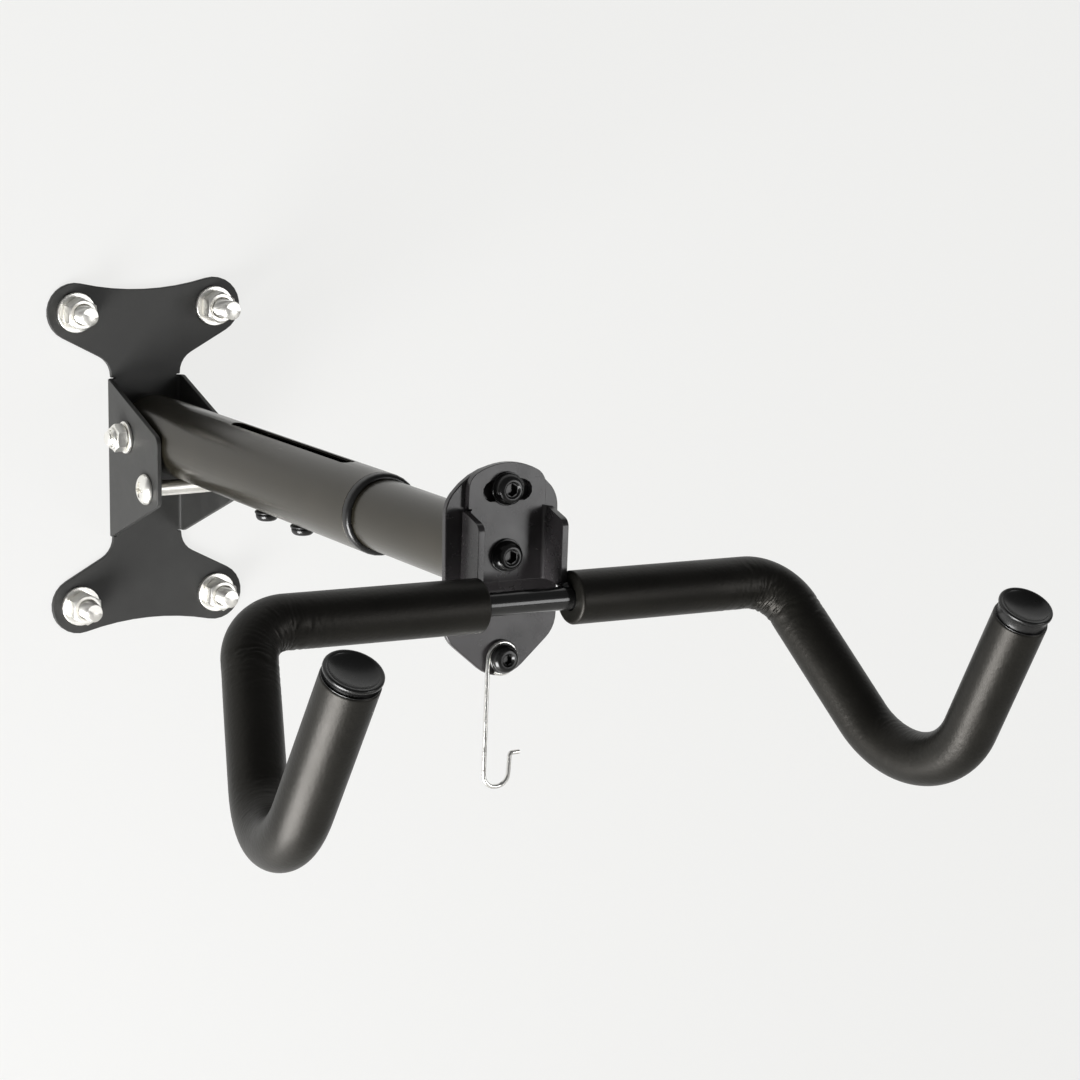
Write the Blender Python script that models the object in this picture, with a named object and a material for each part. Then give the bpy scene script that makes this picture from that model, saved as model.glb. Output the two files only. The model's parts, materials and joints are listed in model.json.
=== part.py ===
"""Bicycle wall rack: a fold-up, telescopic arm with a tilting pair of foam-covered cradle arms.

Metres, +Z up, +X to the viewer's right.  The wall is the plane Y = 0 and the rack stands out along -Y.
The origin is the middle of the wall plate's back face.  Each named object is one physical piece.
The cradle is laid out level, and its parent empty then turns it to its clamped tilt.
"""
import math

import bmesh
import bpy
from mathutils import Vector

GAP = 0.0003                     # clearance between pieces that touch

# Wall plate: one bent sheet with four anchor lobes and two ears
SHEET = 0.0025
HOLE_PITCH_X = 0.078
HOLE_PITCH_Z = 0.156
ANCHOR_RADIUS = 0.005
LOBE_RADIUS = 0.0152
LOBE_SLOPE = math.radians(28)    # slant of a lobe's inner edge
LOBE_SADDLE = 0.0884             # height of the outer edge midway between two lobes
NECK_HALF = 0.0195
NECK_FILLET = 0.012
RELIEF = 0.0005                  # height of the slit at each end of a bend
BEND_RADIUS = 0.003              # at the middle of the sheet
EAR_HALF_HEIGHT = 0.042
EAR_REACH = 0.068                # reaches are distances from the wall
EAR_TIP_TOP = 0.020
EAR_TIP_BOTTOM = -0.015
EAR_CORNER = 0.005

# Tubes
TUBE_RISE = 0.015                # tube axis above the wall plate's middle
OUTER_RADIUS = 0.019
OUTER_WALL = 0.0012
OUTER_REAR = 0.012
OUTER_FRONT = 0.272
INNER_RADIUS = 0.0165
INNER_WALL = 0.0015
INNER_REAR = 0.132
SLOT_REAR = 0.116
SLOT_FRONT = 0.243
SLOT_WIDTH = 0.0068
BUSH_SLEEVE = 0.020
BUSH_COLLAR = 0.0044

# Fold pivot and stop bolt
EAR_MIDDLE = OUTER_RADIUS + GAP + SHEET / 2
EAR_OUTER = EAR_MIDDLE + SHEET / 2
PIVOT_REACH = 0.0285
STOP_REACH = 0.054
M8 = 0.004
STOP_DROP = OUTER_RADIUS + M8 + GAP

# Telescope clamp: two screws through the lower slot into a nut plate
CLAMP_REACHES = {"rear": 0.1525, "front": 0.1925}
M6 = 0.003
NUT_PLATE_DROP = 0.0134
NUT_PLATE_SHEET = 0.004
NUT_PLATE_HALF_WIDTH = 0.006
NUT_PLATE_OVERHANG = 0.010

# Face plate on the front of the inner tube
FACE_FRONT = 0.384
FACE_SHEET = 0.003
FACE_HALF = 0.027
FACE_CROWN = 0.0405              # heights from the tube axis
FACE_CROWN_RADIUS = 0.031
FACE_SHOULDER = 0.014
FACE_NOSE = -0.0504
FACE_NOSE_RADIUS = 0.016
FACE_TAPER = math.radians(41)
FACE_CORNER = 0.014
TILT_RISE = 0.002
LOCK_RISE = 0.0305
HOOK_RISE = -0.0425

# Tilting bracket, one bent sheet; heights from the tilt pivot
TILT_SET = math.radians(1.3)     # clamped tilt, right arm low
BRACKET_SHEET = 0.003
BRACKET_MIDDLE = FACE_FRONT + GAP + BRACKET_SHEET / 2
BRACKET_HALF = 0.0215
BRACKET_FRONT = 0.402
BRACKET_BOTTOM = -0.011
BRACKET_SHOULDER = 0.020
BRACKET_TIP = 0.0162
BRACKET_CORNER = 0.004
TONGUE_HALF = 0.0185
TONGUE_CROWN = 0.0395
TONGUE_CROWN_RADIUS = 0.030
TONGUE_SHOULDER = 0.008
LOCK_SLOT_RADIUS = LOCK_RISE - TILT_RISE
LOCK_SLOT_HALF_ANGLE = math.radians(14.7)
LOCK_SLOT_WIDTH = 0.0088

# Cradle arms: across, then forward and down, then forward and up
ROD_RADIUS = 0.005
ROD_REACH = 0.4045
ROD_DROP = ROD_RADIUS + GAP - BRACKET_BOTTOM
ROD_CLEARANCE = 0.0006           # room round the faceted rod inside the foam
FOAM_RADIUS = 0.0114
FOAM_START = 0.0219
ELBOW_OUT = 0.126
ELBOW_RADIUS = 0.0205
DOWN_LENGTH = 0.1248
DOWN_SPLAY = math.radians(13)
DOWN_DIP = math.radians(48)
CRADLE_RADIUS = 0.038
UP_LENGTH = 0.1205
UP_SPLAY = math.radians(-2)
UP_RISE = math.radians(61)
CAP_SKIRTS = {"left": 0.0025, "right": 0.0050}
CAP_RIM = 0.0015
CAP_DISH = 0.0014

# Wire hook, swinging on its bolt
WIRE_RADIUS = 0.001
WIRE_LOOP_RADIUS = 0.0068
WIRE_PLANE = FACE_FRONT + GAP + WIRE_RADIUS
WIRE_LENGTH = 0.056
WIRE_THROAT = 0.0117
WIRE_TIP_RISE = 0.042
WIRE_BEND_RADIUS = 0.0055
HOOK_BUSH_RADIUS = 0.0055

# Turns for a piece that is modelled along its own +Z
UP = (0.0, 0.0, 0.0)
DOWN = (math.radians(180), 0.0, 0.0)
OUTWARD = (math.radians(90), 0.0, 0.0)
RIGHTWARD = (0.0, math.radians(90), 0.0)
LEFTWARD = (0.0, math.radians(-90), 0.0)


# ---------------------------------------------------------------- scene and finishes
def clear_scene():
    for old in list(bpy.data.objects):
        bpy.data.objects.remove(old, do_unlink=True)


def finish(name, colour, roughness, metallic):
    made = bpy.data.materials.new(name)
    made.use_nodes = True
    shader = made.node_tree.nodes["Principled BSDF"]
    shader.inputs["Base Color"].default_value = (*colour, 1.0)
    shader.inputs["Roughness"].default_value = roughness
    shader.inputs["Metallic"].default_value = metallic
    return made


def make_finishes():
    return {
        "powder_coat": finish("powder_coat", (0.040, 0.041, 0.040), 0.45, 0.0),
        "tube_coat": finish("tube_coat", (0.085, 0.082, 0.076), 0.38, 0.3),
        "zinc": finish("zinc", (0.72, 0.71, 0.68), 0.30, 1.0),
        "black_oxide": finish("black_oxide", (0.012, 0.012, 0.013), 0.30, 0.4),
        "black_plastic": finish("black_plastic", (0.012, 0.012, 0.012), 0.40, 0.0),
        "foam": finish("foam", (0.020, 0.020, 0.020), 0.70, 0.0),
        "spring_steel": finish("spring_steel", (0.70, 0.70, 0.68), 0.25, 1.0),
    }


# ---------------------------------------------------------------- placing
def world_place(empty):
    place = Vector((0.0, 0.0, 0.0))
    while empty:
        place += empty.location
        empty = empty.parent
    return place


def axis_empty(name, place, parent=None, turn=0.0):
    empty = bpy.data.objects.new(name, None)
    bpy.context.collection.objects.link(empty)
    empty.parent = parent
    empty.location = Vector(place) - world_place(parent)
    empty.rotation_euler.y = turn
    return empty


def add(name, data, look, parent, place, turn=UP):
    piece = bpy.data.objects.new(name, data)
    bpy.context.collection.objects.link(piece)
    piece.parent = parent
    piece.location = Vector(place) - world_place(parent)
    piece.rotation_euler = turn
    data.materials.append(look)
    return piece


def shape_with(piece, data, place, turn=UP, operation="DIFFERENCE"):
    """Cuts or joins a piece with a second shape, which is placed like the piece itself."""
    tool = bpy.data.objects.new(piece.name + "_tool", data)
    bpy.context.collection.objects.link(tool)
    tool.parent = piece.parent
    tool.location = Vector(place) - world_place(piece.parent)
    tool.rotation_euler = turn
    tool.hide_render = True
    tool.display_type = "WIRE"
    step = piece.modifiers.new(operation.title(), "BOOLEAN")
    step.operation = operation
    step.object = tool
    step.solver = "EXACT"


def spot(reach, rise=0.0, across=0.0):
    """A place at a distance from the wall and a height from the tube axis."""
    return Vector((across, -reach, TUBE_RISE + rise))


# ---------------------------------------------------------------- outlines
def arc(centre, radius, start, end, steps):
    """Points on an arc from one angle to another, both ends included."""
    angles = [start + (end - start) * i / steps for i in range(steps + 1)]
    return [(centre[0] + radius * math.cos(angle), centre[1] + radius * math.sin(angle)) for angle in angles]


def circle(centre, radius, steps=24):
    return arc(centre, radius, 0.0, math.tau * (steps - 1) / steps, steps - 1)


def fillet(before, corner, after, radius, steps=5):
    """The arc that rounds a corner between its two neighbours."""
    here = Vector(corner)
    back = (Vector(before) - here).normalized()
    ahead = (Vector(after) - here).normalized()
    half = back.angle(ahead) / 2
    centre = here + (back + ahead).normalized() * radius / math.sin(half)
    first = here + back * radius / math.tan(half) - centre
    last = here + ahead * radius / math.tan(half) - centre
    start = math.atan2(first.y, first.x)
    return arc(centre, radius, start, start - first.angle_signed(last), steps)


def crowned(half, top, radius, shoulder):
    """Up the right side, round its shoulder and along the crown, stopping short of the middle."""
    centre = (0.0, top - radius)
    inward = half - shoulder
    rise = math.sqrt((radius - shoulder) ** 2 - inward ** 2)
    meet = math.atan2(rise, inward)
    return (arc((inward, centre[1] + rise), shoulder, 0.0, meet, 6)
            + arc(centre, radius, meet, math.radians(90), 5)[1:-1])


def hexagon(across_flats):
    return circle((0.0, 0.0), across_flats / math.sqrt(3), 6)


def cross(reach, half_width):
    """The outline of a cross recess."""
    arm = ((reach, -half_width), (reach, half_width), (half_width, half_width))
    turns = ((1, 0), (0, 1), (-1, 0), (0, -1))
    return [(x * c - y * s, x * s + y * c) for c, s in turns for x, y in arm]


# ---------------------------------------------------------------- solids
def to_mesh(shape, name):
    bmesh.ops.remove_doubles(shape, verts=shape.verts, dist=1e-6)
    bmesh.ops.recalc_face_normals(shape, faces=shape.faces)
    mesh = bpy.data.meshes.new(name)
    shape.to_mesh(mesh)
    shape.free()
    mesh.shade_smooth()
    mesh.set_sharp_from_angle(angle=math.radians(35))
    return mesh


def fill(shape, loops):
    """Fills a flat region: the first loop of places is its edge and the others are holes."""
    edges = []
    for loop in loops:
        corners = [shape.verts.new(place) for place in loop]
        edges += [shape.edges.new((corners[i - 1], corner)) for i, corner in enumerate(corners)]
    bmesh.ops.triangle_fill(shape, use_beauty=True, use_dissolve=False, edges=edges)


def slab(name, outline, thickness, holes=()):
    """A flat plate with its outline in local XY and its thickness along +Z."""
    shape = bmesh.new()
    fill(shape, [[(x, y, 0.0) for x, y in loop] for loop in (outline, *holes)])
    grown = bmesh.ops.extrude_face_region(shape, geom=list(shape.faces), use_keep_orig=True)
    moved = [item for item in grown["geom"] if isinstance(item, bmesh.types.BMVert)]
    bmesh.ops.translate(shape, verts=moved, vec=(0.0, 0.0, thickness))
    return to_mesh(shape, name)


def turned(name, profile, steps=24, closed=False):
    """A body turned about local Z from (radius, height) points."""
    shape = bmesh.new()
    points = [shape.verts.new((radius, 0.0, height)) for radius, height in profile]
    edges = [shape.edges.new(pair) for pair in zip(points, points[1:])]
    if closed:
        edges.append(shape.edges.new((points[-1], points[0])))
    bmesh.ops.spin(shape, geom=points + edges, cent=(0, 0, 0), axis=(0, 0, 1),
                   angle=math.tau, steps=steps, use_merge=True, use_duplicate=False)
    return to_mesh(shape, name)


def ring(name, outer, inner, length, steps=24):
    return turned(name, ((inner, 0.0), (outer, 0.0), (outer, length), (inner, length)), steps, closed=True)


def pin(name, radius, length, chamfer=0.0):
    profile = [(0.0, 0.0), (radius, 0.0), (radius, length - chamfer), (radius - chamfer, length), (0.0, length)]
    return turned(name, profile)


def nut(name, across_flats, height, bore):
    return slab(name, hexagon(across_flats), height, (circle((0.0, 0.0), bore, 16),))


def domed_screw(name, radius, length, head_radius, head_height, steps=4):
    """A screw with its head above zero along +Z and its shank below."""
    crown = head_radius * 0.5
    rim = head_height * 0.25
    dome = [(crown + (head_radius - crown) * math.cos(math.radians(90) * i / steps),
             rim + (head_height - rim) * math.sin(math.radians(90) * i / steps)) for i in range(steps + 1)]
    shank = [(0.0, -length), (radius - 0.0005, -length), (radius, -length + 0.0005), (radius, 0.0)]
    return turned(name, [*shank, (head_radius, 0.0), *dome, (0.0, head_height)])


def bent_path(corners, radii, steps=6):
    """Straight runs through corners in space, with every inner corner rounded."""
    path = [corners[0]]
    for before, here, after, radius in zip(corners, corners[1:], corners[2:], radii):
        back = (before - here).normalized()
        ahead = (after - here).normalized()
        half = back.angle(ahead) / 2
        centre = here + (back + ahead).normalized() * radius / math.sin(half)
        first = here + back * radius / math.tan(half) - centre
        last = here + ahead * radius / math.tan(half) - centre
        across = first.cross(last).normalized().cross(first)
        sweep = first.angle(last)
        angles = [sweep * i / steps for i in range(steps + 1)]
        path += [centre + first * math.cos(angle) + across * math.sin(angle) for angle in angles]
    return path + [corners[-1]]


def bar(name, path, radius, bevel_steps, capped=True):
    """A round bar along a path or, uncapped, only its skin."""
    curve = bpy.data.curves.new(name, "CURVE")
    curve.dimensions = "3D"
    curve.bevel_depth = radius
    curve.bevel_resolution = bevel_steps
    curve.use_fill_caps = capped
    run = curve.splines.new("POLY")
    run.points.add(len(path) - 1)
    for point, place in zip(run.points, path):
        point.co = (*place, 1.0)
    return curve


def flap(shape, side, root, depth, low, high, outline, holes=()):
    """Bends the flat sheet forward along its side and adds the flap, outlined in (reach, height)."""
    ends = [shape.verts.new((side * root, -depth, height)) for height in (low, high)]
    edge = shape.edges.new(ends)
    bmesh.ops.spin(shape, geom=[*ends, edge], cent=(side * root, -depth - BEND_RADIUS, 0.0), axis=(0, 0, 1),
                   angle=-side * math.radians(90), steps=4, use_merge=False, use_duplicate=False)
    across = side * (root + BEND_RADIUS)
    fill(shape, [[(across, -reach, height) for reach, height in loop] for loop in (outline, *holes)])


def thicken(piece, sheet, offset=0.0):
    wall = piece.modifiers.new("Sheet", "SOLIDIFY")
    wall.thickness = sheet
    wall.offset = offset
    wall.use_even_offset = True


# ---------------------------------------------------------------- wall plate and its fasteners
def wall_plate_outline(root):
    """One lobe's quarter of the edge, repeated in the other three by symmetry."""
    lobe = (HOLE_PITCH_X / 2, HOLE_PITCH_Z / 2)
    saddle = LOBE_SADDLE - lobe[1]
    saddle_radius = (lobe[0] ** 2 + saddle ** 2 - LOBE_RADIUS ** 2) / (2 * (LOBE_RADIUS - saddle))
    saddle_centre = (0.0, LOBE_SADDLE + saddle_radius)
    meet = math.atan2(saddle_centre[1] - lobe[1], -lobe[0])
    leave = LOBE_SLOPE - math.radians(90)
    edge_start = arc(lobe, LOBE_RADIUS, leave, leave, 1)[0]
    neck_height = edge_start[1] - (edge_start[0] - NECK_HALF) * math.tan(LOBE_SLOPE)
    neck = (NECK_HALF, neck_height)
    relief = EAR_HALF_HEIGHT + RELIEF
    quarter = [(root, EAR_HALF_HEIGHT), (root, relief), (NECK_HALF, relief)]
    quarter += fillet((NECK_HALF, relief), neck, edge_start, NECK_FILLET)
    quarter += arc(lobe, LOBE_RADIUS, leave, meet, 12)
    quarter += arc(saddle_centre, saddle_radius, meet - math.pi, math.radians(-90), 4)[1:-1]
    lower = [(x, -y) for x, y in reversed(quarter)]
    middle = (0.0, LOBE_SADDLE)
    right = [(0.0, -LOBE_SADDLE), *lower, *quarter]
    return [*right, middle, *((-x, y) for x, y in reversed(right[1:]))]


def wall_plate(look, parent):
    root = EAR_MIDDLE - BEND_RADIUS
    depth = SHEET / 2
    bolt_hole = M8 + GAP
    anchors = [circle((x * HOLE_PITCH_X / 2, z * HOLE_PITCH_Z / 2), ANCHOR_RADIUS + 0.0005, 16)
               for x in (-1, 1) for z in (-1, 1)]
    shape = bmesh.new()
    fill(shape, [[(x, -depth, z) for x, z in loop] for loop in (wall_plate_outline(root), *anchors)])
    start = depth + BEND_RADIUS
    low, high = (start, -EAR_HALF_HEIGHT), (start, EAR_HALF_HEIGHT)
    tip_low, tip_high = (EAR_REACH, EAR_TIP_BOTTOM), (EAR_REACH, EAR_TIP_TOP)
    ear = [high, low, *fillet(low, tip_low, tip_high, EAR_CORNER), *fillet(tip_low, tip_high, high, EAR_CORNER)]
    holes = (circle((PIVOT_REACH, TUBE_RISE), bolt_hole, 16),
             circle((STOP_REACH, TUBE_RISE - STOP_DROP), bolt_hole, 16))
    for side in (-1, 1):
        flap(shape, side, root, depth, -EAR_HALF_HEIGHT, EAR_HALF_HEIGHT, ear, holes)
    thicken(add("wall_plate", to_mesh(shape, "wall_plate"), look, parent, (0.0, 0.0, 0.0)), SHEET)


def anchors(look, parent):
    """Expansion anchors: stud, washer and nut.  The stud ends flush with the wall's face."""
    washer, nut_height = 0.0022, 0.0088
    for row, z in (("top", 1), ("bottom", -1)):
        for column, x in (("left", -1), ("right", 1)):
            where = f"{row}_{column}"
            across, height = x * HOLE_PITCH_X / 2, z * HOLE_PITCH_Z / 2
            length = 0.028 if where == "top_right" else 0.0235
            add(f"anchor_stud_{where}", pin("anchor_stud", ANCHOR_RADIUS, length, 0.0008), look, parent,
                (across, 0.0, height), OUTWARD)
            seat = SHEET + GAP
            add(f"anchor_washer_{where}", ring("anchor_washer", 0.0105, ANCHOR_RADIUS + GAP, washer), look,
                parent, (across, -seat, height), OUTWARD)
            add(f"anchor_nut_{where}", nut("anchor_nut", 0.015, nut_height, ANCHOR_RADIUS + GAP), look,
                parent, (across, -seat - washer - GAP, height), OUTWARD)


def pivot_fasteners(look, parent):
    """The fold pivot: a hexagon bolt from the right, with a washer at each ear and a nut on the left."""
    washer, head, nut_height = 0.0016, 0.0053, 0.0072
    bearing = EAR_OUTER + GAP
    outside = bearing + washer + GAP
    length = 2 * outside + nut_height + 0.002
    bolt = add("pivot_bolt", pin("pivot_bolt", M8, length, 0.0005), look, parent,
               spot(PIVOT_REACH, 0.0, outside), LEFTWARD)
    shape_with(bolt, slab("pivot_bolt_head", hexagon(0.013), head), spot(PIVOT_REACH, 0.0, outside), RIGHTWARD,
               "UNION")
    for column, x, turn in (("left", -1, LEFTWARD), ("right", 1, RIGHTWARD)):
        add(f"pivot_washer_{column}", ring("pivot_washer", 0.0084, M8 + GAP, washer), look,
            parent, spot(PIVOT_REACH, 0.0, x * bearing), turn)
    add("pivot_nut", nut("pivot_nut", 0.013, nut_height, M8 + GAP), look, parent,
        spot(PIVOT_REACH, 0.0, -outside), LEFTWARD)


def stop_fasteners(look, parent):
    """The bolt under the tube that the arm rests on, and its nut at the right ear."""
    head_height, nut_height = 0.0046, 0.0065
    bearing = EAR_OUTER + GAP
    length = 2 * bearing + GAP + nut_height + 0.002
    bolt = add("stop_bolt", domed_screw("stop_bolt", M8, length, 0.008, head_height), look, parent,
               spot(STOP_REACH, -STOP_DROP, -bearing), LEFTWARD)
    shape_with(bolt, slab("stop_bolt_recess", cross(0.0042, 0.001), head_height),
               spot(STOP_REACH, -STOP_DROP, -bearing - 0.0018), LEFTWARD)
    add("stop_nut", nut("stop_nut", 0.013, nut_height, M8 + GAP), look, parent,
        spot(STOP_REACH, -STOP_DROP, bearing), RIGHTWARD)


# ---------------------------------------------------------------- folding tube
def outer_tube(look, parent):
    tube = add("outer_tube", ring("outer_tube", OUTER_RADIUS, OUTER_RADIUS - OUTER_WALL,
                                  OUTER_FRONT - OUTER_REAR, 32), look, parent, spot(OUTER_REAR), OUTWARD)
    through = 3 * OUTER_RADIUS
    half = SLOT_WIDTH / 2
    ends = (SLOT_REAR + half, SLOT_FRONT - half)
    right, left = 0.0, math.pi
    slot = (arc((0.0, ends[0] - ends[1]), half, left, 2 * math.pi, 8)
            + arc((0.0, 0.0), half, right, left, 8))
    shape_with(tube, slab("outer_tube_slots", slot, through), spot(ends[0], -through / 2))
    shape_with(tube, pin("outer_tube_pivot_hole", M8 + GAP, through), spot(PIVOT_REACH, 0.0, -through / 2),
               RIGHTWARD)


def pivot_sleeve(look, parent):
    """The tube that the pivot bolt runs in, welded across the inside of the outer tube."""
    radius = 0.0065
    bore = OUTER_RADIUS - OUTER_WALL
    half = math.sqrt(bore ** 2 - radius ** 2) - GAP
    add("pivot_sleeve", ring("pivot_sleeve", radius, M8 + GAP, 2 * half), look, parent,
        spot(PIVOT_REACH, 0.0, -half), RIGHTWARD)


def guide_bush(look, parent):
    """The plastic bush in the outer tube's mouth, with a rounded collar in front of it."""
    bore = INNER_RADIUS + GAP
    sleeve = OUTER_RADIUS - OUTER_WALL - GAP
    rounding = 0.0020
    collar = [(OUTER_RADIUS - rounding + rounding * math.cos(math.radians(30 * i)),
               BUSH_COLLAR - rounding + rounding * math.sin(math.radians(30 * i))) for i in range(4)]
    profile = [(bore, -BUSH_SLEEVE), (sleeve, -BUSH_SLEEVE), (sleeve, 0.0), (OUTER_RADIUS, 0.0), *collar,
               (bore, BUSH_COLLAR)]
    add("guide_bush", turned("guide_bush", profile, 32, closed=True), look, parent, spot(OUTER_FRONT + GAP),
        OUTWARD)


# ---------------------------------------------------------------- telescopic tube
def inner_tube(look, parent):
    front = FACE_FRONT - FACE_SHEET - GAP
    tube = add("inner_tube", ring("inner_tube", INNER_RADIUS, INNER_RADIUS - INNER_WALL, front - INNER_REAR, 32),
               look, parent, spot(INNER_REAR), OUTWARD)
    for reach in CLAMP_REACHES.values():
        shape_with(tube, pin("inner_tube_clamp_hole", M6 + GAP, 0.012), spot(reach, -INNER_RADIUS - 0.004))


def clamp(looks, parent):
    """Two button screws under the tube, drawn up into a nut plate inside it."""
    washer, head = 0.0012, 0.0033
    under = -OUTER_RADIUS - GAP
    seat = under - washer - GAP
    length = NUT_PLATE_SHEET - NUT_PLATE_DROP - seat + 0.001
    for where, reach in CLAMP_REACHES.items():
        add(f"clamp_washer_{where}", ring("clamp_washer", 0.006, M6 + GAP, washer), looks["black_oxide"],
            parent, spot(reach, under), DOWN)
        screw = add(f"clamp_screw_{where}", domed_screw("clamp_screw", M6, length, 0.0055, head),
                    looks["black_oxide"], parent, spot(reach, seat), DOWN)
        shape_with(screw, slab("clamp_screw_socket", hexagon(0.004), head), spot(reach, seat - 0.0013), DOWN)
    rear, front = CLAMP_REACHES["rear"], CLAMP_REACHES["front"]
    half = (front - rear) / 2 + NUT_PLATE_OVERHANG
    side = NUT_PLATE_HALF_WIDTH
    outline = [(side, -half), (side, half), (-side, half), (-side, -half)]
    holes = [circle((0.0, y), M6 + GAP, 16) for y in ((rear - front) / 2, (front - rear) / 2)]
    add("nut_plate", slab("nut_plate", outline, NUT_PLATE_SHEET, holes), looks["zinc"], parent,
        spot((rear + front) / 2, -NUT_PLATE_DROP))


# ---------------------------------------------------------------- face plate and its bolts
def face_plate(look, parent):
    nose = (0.0, FACE_NOSE + FACE_NOSE_RADIUS)
    leave = FACE_TAPER - math.radians(90)
    taper_foot = arc(nose, FACE_NOSE_RADIUS, leave, leave, 1)[0]
    corner = (FACE_HALF, taper_foot[1] + (FACE_HALF - taper_foot[0]) * math.tan(FACE_TAPER))
    half = arc(nose, FACE_NOSE_RADIUS, math.radians(-90), leave, 4)[1:]
    half += fillet(taper_foot, corner, (FACE_HALF, 0.0), FACE_CORNER)
    half += crowned(FACE_HALF, FACE_CROWN, FACE_CROWN_RADIUS, FACE_SHOULDER)
    outline = [(0.0, FACE_NOSE), *half, (0.0, FACE_CROWN), *((-x, y) for x, y in reversed(half))]
    holes = [circle((0.0, TILT_RISE), M8 + GAP, 16), circle((0.0, LOCK_RISE), M8 + GAP, 16),
             circle((0.0, HOOK_RISE), M6 + GAP, 16)]
    add("face_plate", slab("face_plate", outline, FACE_SHEET, holes), look, parent,
        spot(FACE_FRONT - FACE_SHEET), OUTWARD)


def face_bolt(name, radius, head_radius, head_height, socket, flats, seat, rise, looks, parent):
    """A button bolt from the front, through the face plate, and its nut behind."""
    back = FACE_FRONT - FACE_SHEET - GAP
    nut_height = 1.6 * radius
    length = seat - back + nut_height + 0.0015
    bolt = add(f"{name}_bolt", domed_screw(f"{name}_bolt", radius, length, head_radius, head_height),
               looks["black_oxide"], parent, spot(seat, rise), OUTWARD)
    shape_with(bolt, slab(f"{name}_socket", hexagon(socket), head_height), spot(seat + 0.4 * head_height, rise),
               OUTWARD)
    add(f"{name}_nut", nut(f"{name}_nut", flats, nut_height, radius + GAP), looks["black_oxide"], parent,
        spot(back, rise), (math.radians(-90), 0.0, 0.0))


def face_bolts(looks, parent):
    bracket_seat = BRACKET_MIDDLE + BRACKET_SHEET / 2 + GAP
    face_bolt("tilt", M8, 0.0072, 0.0052, 0.005, 0.013, bracket_seat, TILT_RISE, looks, parent)
    face_bolt("lock", M8, 0.0072, 0.0052, 0.005, 0.013, bracket_seat, LOCK_RISE, looks, parent)
    bush = 2 * WIRE_RADIUS + GAP
    face_bolt("hook", M6, 0.0065, 0.0042, 0.004, 0.010, FACE_FRONT + bush + 2 * GAP, HOOK_RISE, looks, parent)
    add("hook_bush", ring("hook_bush", HOOK_BUSH_RADIUS, M6 + GAP, bush), looks["zinc"], parent,
        spot(FACE_FRONT + GAP, HOOK_RISE), OUTWARD)


# ---------------------------------------------------------------- tilting cradle
def tilt_bracket(look, parent):
    root = BRACKET_HALF - BRACKET_SHEET / 2 - BEND_RADIUS
    relief = BRACKET_SHOULDER + RELIEF
    half = [(root, BRACKET_BOTTOM), (root, BRACKET_SHOULDER), (root, relief), (TONGUE_HALF, relief)]
    half += crowned(TONGUE_HALF, TONGUE_CROWN, TONGUE_CROWN_RADIUS, TONGUE_SHOULDER)
    outline = [*half, (0.0, TONGUE_CROWN), *((-x, y) for x, y in reversed(half))]
    cheek = LOCK_SLOT_WIDTH / 2
    up = math.radians(90)
    first, last = up - LOCK_SLOT_HALF_ANGLE, up + LOCK_SLOT_HALF_ANGLE
    ends = arc((0.0, 0.0), LOCK_SLOT_RADIUS, first, last, 1)
    slot = (arc((0.0, 0.0), LOCK_SLOT_RADIUS + cheek, first, last, 8)
            + arc(ends[1], cheek, last, last + math.pi, 6)[1:-1]
            + arc((0.0, 0.0), LOCK_SLOT_RADIUS - cheek, last, first, 8)
            + arc(ends[0], cheek, first - math.pi, first, 6)[1:-1])
    shape = bmesh.new()
    loops = (outline, slot, circle((0.0, 0.0), M8 + GAP, 16))
    fill(shape, [[(x, 0.0, z) for x, z in loop] for loop in loops])
    reach = BRACKET_FRONT - BRACKET_MIDDLE
    high, low = (BEND_RADIUS, BRACKET_SHOULDER), (BEND_RADIUS, BRACKET_BOTTOM)
    tip_low, tip_high = (reach, BRACKET_BOTTOM), (reach, BRACKET_TIP)
    flange = [high, low, tip_low, *fillet(tip_low, tip_high, high, BRACKET_CORNER)]
    for side in (-1, 1):
        flap(shape, side, root, 0.0, BRACKET_BOTTOM, BRACKET_SHOULDER, flange)
    place = spot(BRACKET_MIDDLE, TILT_RISE)
    thicken(add("tilt_bracket", to_mesh(shape, "tilt_bracket"), look, parent, place), BRACKET_SHEET)


def arm_corners(side):
    """Elbow, cradle and tip of one arm's centreline, and the direction of its last run."""
    down = Vector((side * math.sin(DOWN_SPLAY), -math.cos(DOWN_SPLAY) * math.cos(DOWN_DIP),
                   -math.cos(DOWN_SPLAY) * math.sin(DOWN_DIP)))
    up = Vector((side * math.sin(UP_SPLAY), -math.cos(UP_SPLAY) * math.cos(UP_RISE),
                 math.cos(UP_SPLAY) * math.sin(UP_RISE)))
    elbow = Vector((side * ELBOW_OUT, 0.0, 0.0))
    cradle = elbow + down * DOWN_LENGTH
    return elbow, cradle, cradle + up * UP_LENGTH, up


def cap_profile(skirt):
    """A dished plug: a socket for the rod behind, a skirt, a rounded rim and a hollowed face."""
    rim = skirt + CAP_RIM
    face = rim - CAP_DISH
    socket = ROD_RADIUS + GAP
    return [(0.0, face - 0.0012), (socket, face - 0.0012), (socket, 0.0), (FOAM_RADIUS, 0.0),
            (FOAM_RADIUS, skirt), (FOAM_RADIUS - 0.0004, rim - 0.0004), (FOAM_RADIUS - 0.0014, rim),
            (FOAM_RADIUS - 0.0026, face + 0.0003), (0.0, face)]


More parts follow.
